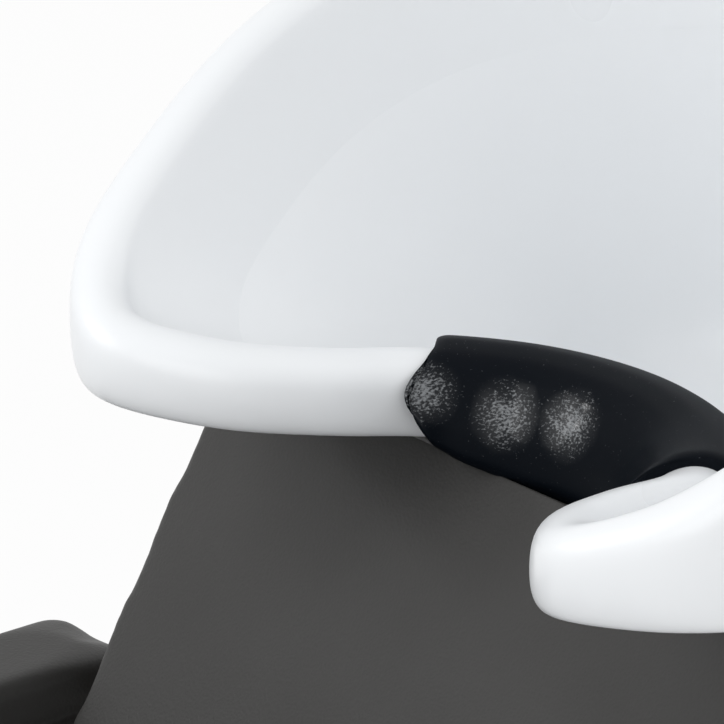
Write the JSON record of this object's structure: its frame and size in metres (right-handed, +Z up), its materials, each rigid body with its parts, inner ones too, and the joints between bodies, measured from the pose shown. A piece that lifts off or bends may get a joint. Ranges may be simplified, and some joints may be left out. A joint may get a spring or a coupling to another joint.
{
  "type": "hair washing bed",
  "caption": "Upholstered hair washing bed with padded arms, folding leg rest and a tilting ceramic basin with a soft neck rest on a pedestal.",
  "frame": {"origin": "middle of the footprint on the floor", "axes": "+Z up, +Y from the feet of the bed to the basin, +X to the right of someone standing at the foot end"},
  "size_m": [0.71, 1.5677, 1.1971],
  "materials": {
    "glazed_ceramic": "gloss white glaze",
    "gel_rubber": "satin black gel",
    "leather": "smooth dark grey",
    "black_panel": "fine matte",
    "black_cap": "matte",
    "birch_ply": "clear sealed",
    "black_steel": "powder coat",
    "zinc_steel": "zinc plated",
    "chrome": "polished",
    "brass": "machined",
    "black_plastic": "moulded"
  },
  "bodies": {
    "frame": {"left_base_rail": "black_steel", "right_base_rail": "black_steel", "base_crossbars": "black_steel", "levelling_feet": "black_plastic", "seat_posts": "black_steel", "seat_rails": "black_steel", "seat_crossbars": "black_steel", "seat_board": "birch_ply", "seat_cushion": "leather", "back_bars": "black_steel", "back_board": "birch_ply", "back_cushion": "leather", "left_arm_panel": "black_panel", "left_arm_cap": "black_cap", "left_arm_pad": "leather", "right_arm_panel": "black_panel", "right_arm_cap": "black_cap", "right_arm_pad": "leather", "front_apron": "black_panel", "seat_lugs": "black_steel", "hinge_pins": "zinc_steel", "column_plate": "black_steel", "column": "black_steel", "tilt_head": "black_steel", "pivot_pins": "zinc_steel", "pedestal_shell": "black_panel", "door_hinge_pins": "zinc_steel"},
    "basin": {"basin": "glazed_ceramic", "basin_cradle": "black_steel", "cradle_bolts": "zinc_steel", "waste_body": "chrome", "waste_nut": "black_plastic", "mixer_body": "chrome", "mixer_nut": "brass", "spray_socket": "chrome", "socket_nut": "brass"},
    "neck_rest": {"neck_rest": "gel_rubber"},
    "strainer": {"hair_strainer": "chrome"},
    "mixer_cap": {"mixer_cap": "chrome", "mixer_lever_pin": "zinc_steel"},
    "mixer_lever": {"mixer_lever": "chrome"},
    "handset": {"spray_handset": "chrome", "spray_face": "black_plastic"},
    "tilt_lever": {"tilt_lever": "black_steel", "tilt_knob": "black_plastic"},
    "leg_rest": {"leg_rest_board": "birch_ply", "leg_rest_cushion": "leather", "leg_rest_arms": "black_steel"},
    "door": {"service_door": "black_panel"}
  },
  "joints": [
    {"name": "basin_tilt", "type": "hinge", "parent": "frame", "child": "basin", "pos_m": [0, 0.59586, 0.665], "axis": [-1, 0, 0], "range_deg": [0, 12]},
    {"name": "neck_rest_lift", "type": "slide", "parent": "basin", "child": "neck_rest", "axis": [0, 0, 1], "range_m": [0, 0.08]},
    {"name": "strainer_lift", "type": "slide", "parent": "basin", "child": "strainer", "axis": [0, 0, 1], "range_m": [0, 0.08]},
    {"name": "mixer_swivel", "type": "hinge", "parent": "basin", "child": "mixer_cap", "pos_m": [0, 0.73886, 1.13], "axis": [0, 0, 1], "range_deg": [-45, 45]},
    {"name": "mixer_lift", "type": "hinge", "parent": "mixer_cap", "child": "mixer_lever", "pos_m": [0, 0.73886, 1.1323], "axis": [1, 0, 0], "range_deg": [0, 20]},
    {"name": "handset_lift", "type": "slide", "parent": "basin", "child": "handset", "axis": [0, 0, 1], "range_m": [0, 0.1]},
    {"name": "tilt_lock", "type": "hinge", "parent": "frame", "child": "tilt_lever", "pos_m": [0.0743, 0.59586, 0.665], "axis": [1, 0, 0], "range_deg": [0, 35]},
    {"name": "leg_rest_fold", "type": "hinge", "parent": "frame", "child": "leg_rest", "pos_m": [0, -0.38686, 0.296], "axis": [1, 0, 0], "range_deg": [0, 50]},
    {"name": "door_swing", "type": "hinge", "parent": "frame", "child": "door", "pos_m": [-0.072, 0.72486, 0.3], "axis": [0, 0, 1], "range_deg": [0, 110]}
  ]
}
